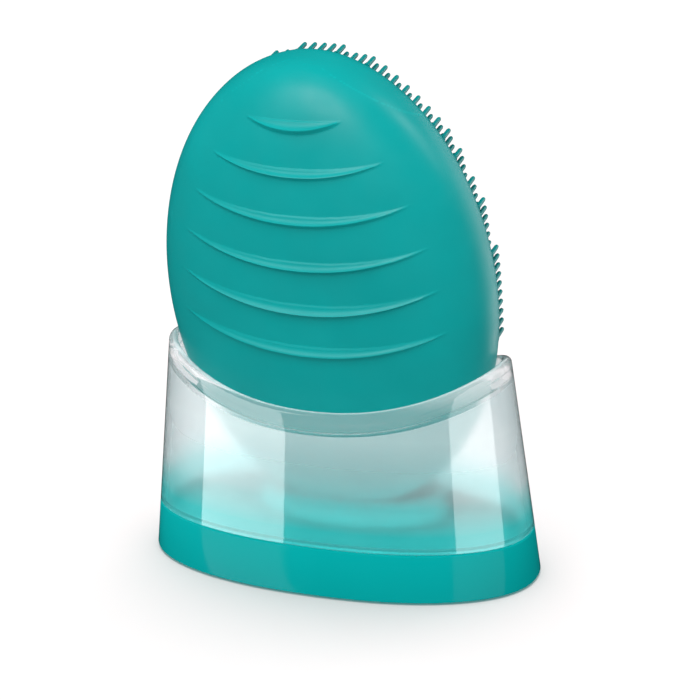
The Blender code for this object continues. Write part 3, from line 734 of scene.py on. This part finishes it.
def solder_mask():
    """Green lacquer over copper tracks, with pale pads."""
    made = Finish("board_solder_mask", Specular_IOR_Level=0.6)
    tracks = made.add("ShaderNodeTexBrick")
    tracks.inputs["Scale"].default_value = 420
    tracks.inputs["Mortar Size"].default_value = 0.03
    tracks.inputs["Color1"].default_value = (0.012, 0.130, 0.060, 1)
    tracks.inputs["Color2"].default_value = (0.016, 0.150, 0.070, 1)
    tracks.inputs["Mortar"].default_value = (0.040, 0.260, 0.130, 1)
    mapping = made.add("ShaderNodeMapping")
    mapping.inputs["Rotation"].default_value = (math.pi / 2, 0, 0)
    made.link(made.place, mapping.inputs["Vector"])
    made.link(mapping.outputs["Vector"], tracks.inputs["Vector"])
    made.colour(made.worn_edges(tracks.outputs["Color"], (0.30, 0.33, 0.20)))
    made.rough(500, 0.22, 0.38)
    return made.grain(tracks.outputs["Fac"], 0.00003, 0.4).material


def crinkled_foil():
    made = Finish("cell_foil", Metallic=0.75)
    made.colour(made.mottled((0.55, 0.56, 0.58), (0.46, 0.47, 0.49), 150))
    made.rough(350, 0.24, 0.42)
    return made.grain(made.noise(420, 4), 0.00012, 0.6).material


def open_foam():
    made = Finish("battery_foam")
    cells = made.add("ShaderNodeTexVoronoi")
    cells.inputs["Scale"].default_value = 2600
    made.link(made.place, cells.inputs["Vector"])
    share = made.ranged(cells.outputs["Distance"], 0.0, 1.0, 0.1, 0.6)
    made.colour(made.mix(share, (0.015, 0.015, 0.016), (0.075, 0.075, 0.078)))
    made.rough(800, 0.85, 0.98)
    return made.grain(cells.outputs["Distance"], 0.0002, 0.8).material


def light_plastic():
    made = Finish("light_guide_clear", Transmission_Weight=0.85, IOR=1.49)
    made.colour(made.mottled((0.94, 0.96, 0.97), (0.88, 0.91, 0.92), 400))
    made.rough(900, 0.08, 0.2)
    return made.grain(made.noise(3000, 2), 0.00001, 0.4).material


def cad_materials():
    """One material for each of the record's slots, for the CAD parts that stay."""
    return {
        "teal_silicone": silicone("pad_silicone", TEAL, TEAL_DEEP, TEAL_LIGHT),
        "teal_gloss": plain_finish(
            "base_plate_teal", (0.0, 0.35, 0.34), (0.0, 0.31, 0.30), 60, (0.25, 0.38), 2400, 0.00002
        ),
        "white_abs": plain_finish(
            "housing_abs", (0.76, 0.76, 0.73), (0.70, 0.70, 0.67), 70, (0.38, 0.52), 2600, 0.00003
        ),
        "gasket_grey": plain_finish(
            "gasket_rubber", (0.20, 0.20, 0.21), (0.15, 0.15, 0.16), 90, (0.62, 0.80), 2200, 0.00004
        ),
        "foot_grey": plain_finish(
            "foot_rubber", (0.43, 0.44, 0.44), (0.36, 0.37, 0.37), 180, (0.68, 0.85), 2400, 0.00005
        ),
        "board_green": solder_mask(),
        "black_plastic": plain_finish(
            "component_black", (0.025, 0.025, 0.026), (0.040, 0.040, 0.042), 220, (0.30, 0.48), 3000, 0.00003
        ),
        "steel": brushed_metal("component_steel", (0.58, 0.58, 0.59), (1, 14, 14)),
        "brass": brushed_metal("turned_brass", (0.70, 0.53, 0.25), (12, 1, 1)),
        "cell_silver": crinkled_foil(),
        "foam_black": open_foam(),
        "red_wire": plain_finish(
            "lead_red", (0.55, 0.030, 0.022), (0.46, 0.022, 0.018), 260, (0.34, 0.50), 3000, 0.00002
        ),
        "black_wire": plain_finish(
            "lead_black", (0.018, 0.018, 0.019), (0.030, 0.030, 0.031), 260, (0.34, 0.50), 3000, 0.00002
        ),
        "light_guide": light_plastic(),
    }


def dress_cad_nodes(replaced):
    """Gives every CAD part that still shows the material of its slot."""
    materials = cad_materials()
    for entry in frame["record"]["subparts"]:
        if entry["node"] in replaced:
            continue
        mesh = frame["nodes"][entry["node"]].data
        mesh.materials.clear()
        mesh.materials.append(materials[entry["material_slot"]])


# ================================================================ stage, lights and camera
def make_floor():
    mesh = bpy.data.meshes.new("floor")
    corners = [(x * FLOOR_HALF, y * FLOOR_HALF, 0) for x, y in ((-1, -1), (1, -1), (1, 1), (-1, 1))]
    mesh.from_pydata(corners, [], [(0, 1, 2, 3)])
    paper = Finish("paper_floor", Specular_IOR_Level=0.0, roughness=0.9)
    paper.colour(paper.mottled((0.960, 0.912, 0.911), (0.950, 0.902, 0.901), 3))
    mesh.materials.append(paper.material)
    floor = bpy.data.objects.new("floor", mesh)
    bpy.context.scene.collection.objects.link(floor)
    floor.visible_glossy = False
    floor.visible_diffuse = False
    floor.visible_shadow = False
    return floor


def make_world():
    """A white surround, dimmer for soft light, and dark in mirror images except from inside clear plastic."""
    world = bpy.data.worlds.new("studio")
    bpy.context.scene.world = world
    world.use_nodes = True
    world.cycles.sampling_method = "NONE"
    tree = world.node_tree
    ray = tree.nodes.new("ShaderNodeLightPath")
    outside = tree.nodes.new("ShaderNodeMath")
    outside.operation = "LESS_THAN"
    outside.inputs[1].default_value = 0.5
    tree.links.new(ray.outputs["Transmission Depth"], outside.inputs[0])
    mirrored = tree.nodes.new("ShaderNodeMath")
    mirrored.operation = "MULTIPLY"
    tree.links.new(ray.outputs["Is Glossy Ray"], mirrored.inputs[0])
    tree.links.new(outside.outputs["Value"], mirrored.inputs[1])
    soft = tree.nodes.new("ShaderNodeMix")
    soft.inputs[2].default_value, soft.inputs[3].default_value = 1.0, SURROUND_SOFT
    tree.links.new(ray.outputs["Is Diffuse Ray"], soft.inputs["Factor"])
    level = tree.nodes.new("ShaderNodeMix")
    level.inputs[3].default_value = SURROUND_MIRRORED
    tree.links.new(mirrored.outputs["Value"], level.inputs["Factor"])
    tree.links.new(soft.outputs[0], level.inputs[2])
    background = tree.nodes["Background"]
    background.inputs["Color"].default_value = (1, 1, 1, 1)
    tree.links.new(level.outputs[0], background.inputs["Strength"])


def softbox(name, aim, distance, size, radiance, only=None, kind="both"):
    """A rectangular light aimed at the object from a compass and a height angle, itself out of sight.

    only lists the pieces it lights. A "diffuse" one has no mirror image, and a "glossy" one no soft light.
    """
    light = bpy.data.lights.new(name, "AREA")
    light.shape = "RECTANGLE"
    light.size, light.size_y = size
    light.energy = radiance * math.pi * size[0] * size[1]
    lamp = bpy.data.objects.new(name, light)
    bpy.context.scene.collection.objects.link(lamp)
    a, e = (math.radians(angle) for angle in aim)
    out = Vector((math.sin(a) * math.cos(e), -math.cos(a) * math.cos(e), math.sin(e)))
    lamp.location = LIGHTS_CENTRE + out * distance
    lamp.rotation_mode = "QUATERNION"
    lamp.rotation_quaternion = out.to_track_quat("Z", "Y")
    lamp.visible_camera = False
    lamp.visible_transmission = False
    lamp.visible_glossy = kind != "diffuse"
    lamp.visible_diffuse = kind != "glossy"
    if only:
        receivers = bpy.data.collections.new(name + "_receivers")
        for piece in only:
            receivers.objects.link(piece)
        lamp.light_linking.receiver_collection = receivers


def make_lights(floor, stand):
    pieces = [o for o in bpy.context.scene.objects if o.type == "MESH" and o is not floor]
    rest = [o for o in pieces if o not in stand]
    softbox("floor_wash", (200, 88), 4.0, (2.4, 2.4), 5.0, [floor])
    softbox("key", (0, 56), 0.9, (0.6, 0.6), 6.2, pieces, "diffuse")
    softbox("crown_gloss", (-6, 25), 0.9, (0.46, 0.40), 18.0, rest, "glossy")
    softbox("edge_gloss", (140, -4), 0.9, (0.8, 1.0), 2.6, rest, "glossy")
    softbox("shoulder_gloss", (98, 38), 0.9, (0.30, 0.45), 11.0, rest, "glossy")
    softbox("tray_bounce", (0, -90), 0.0395, (0.070, 0.026), 2.4, rest, "diffuse")
    softbox("strip_left", (-42.8, 0), 1.5, (0.87, 2.6), 3.0, stand, "glossy")
    softbox("strip_right", (54.0, 0), 1.5, (1.36, 2.6), 2.5, stand, "glossy")


def make_camera():
    camera = bpy.data.objects.new("camera", bpy.data.cameras.new("camera"))
    bpy.context.scene.collection.objects.link(camera)
    camera.data.lens = CAMERA_LENS
    camera.data.sensor_width = 36.0
    camera.data.shift_x, camera.data.shift_y = CAMERA_SHIFT
    a, e = CAMERA_AZIMUTH, CAMERA_ELEVATION
    back = Vector((math.sin(a) * math.cos(e), -math.cos(a) * math.cos(e), math.sin(e)))
    camera.location = CAMERA_TARGET + back * CAMERA_DISTANCE
    camera.rotation_mode = "QUATERNION"
    turn = back.to_track_quat("Z", "Y")
    camera.rotation_quaternion = turn @ Matrix.Rotation(-CAMERA_ROLL, 3, "Z").to_quaternion()
    camera.data.clip_start, camera.data.clip_end = 0.01, 50
    bpy.context.scene.camera = camera


def main():
    body = silicone("brush_silicone", TEAL, TEAL_DEEP, TEAL_LIGHT)
    # the bristles get a darker copy of the silicone, a painted shade
    soft = silicone("bristle_silicone_painted_shade", TEAL_PAINTED_SHADE, TEAL_PAINTED_DEEPER_SHADE, TEAL)
    make_grip_skin(body)
    make_bristle_skin(body)
    make_bristles(soft)
    make_buttons(body)
    rim = shell_face("shell_polished", (0.01, 0.04), (90, 0.00002), 1.28, Coat_Weight=1.0)
    clear = shell_haze(rim).material
    # the milky outer face carries a painted teal glow low down, next to the tray
    milky_with_painted_glow = shell_milk_and_painted_glow(shell_face("shell_milky_painted_glow", (0.01, 0.04), (90, 0.00002), Coat_Weight=1.0)).material
    etched = shell_face("shell_etched", (0.28, 0.34), (4200, 0.000006)).material
    shell = make_shell(clear, milky_with_painted_glow, etched)
    tray = make_tray(tray_gloss())
    replaced = ["grip_skin", "bristle_skin", "bristle_field", "stand_shell", "stand_tray"]
    replaced += [f"{name}_button" for name, *_ in CONTROLS]
    dress_cad_nodes(replaced)

    floor = make_floor()
    make_world()
    make_lights(floor, [shell, tray])
    make_camera()
    scene = bpy.context.scene
    scene.view_settings.view_transform = "Standard"
    scene.cycles.max_bounces = 20
    scene.cycles.glossy_bounces = 12
    scene.cycles.transmission_bounces = 20


main()
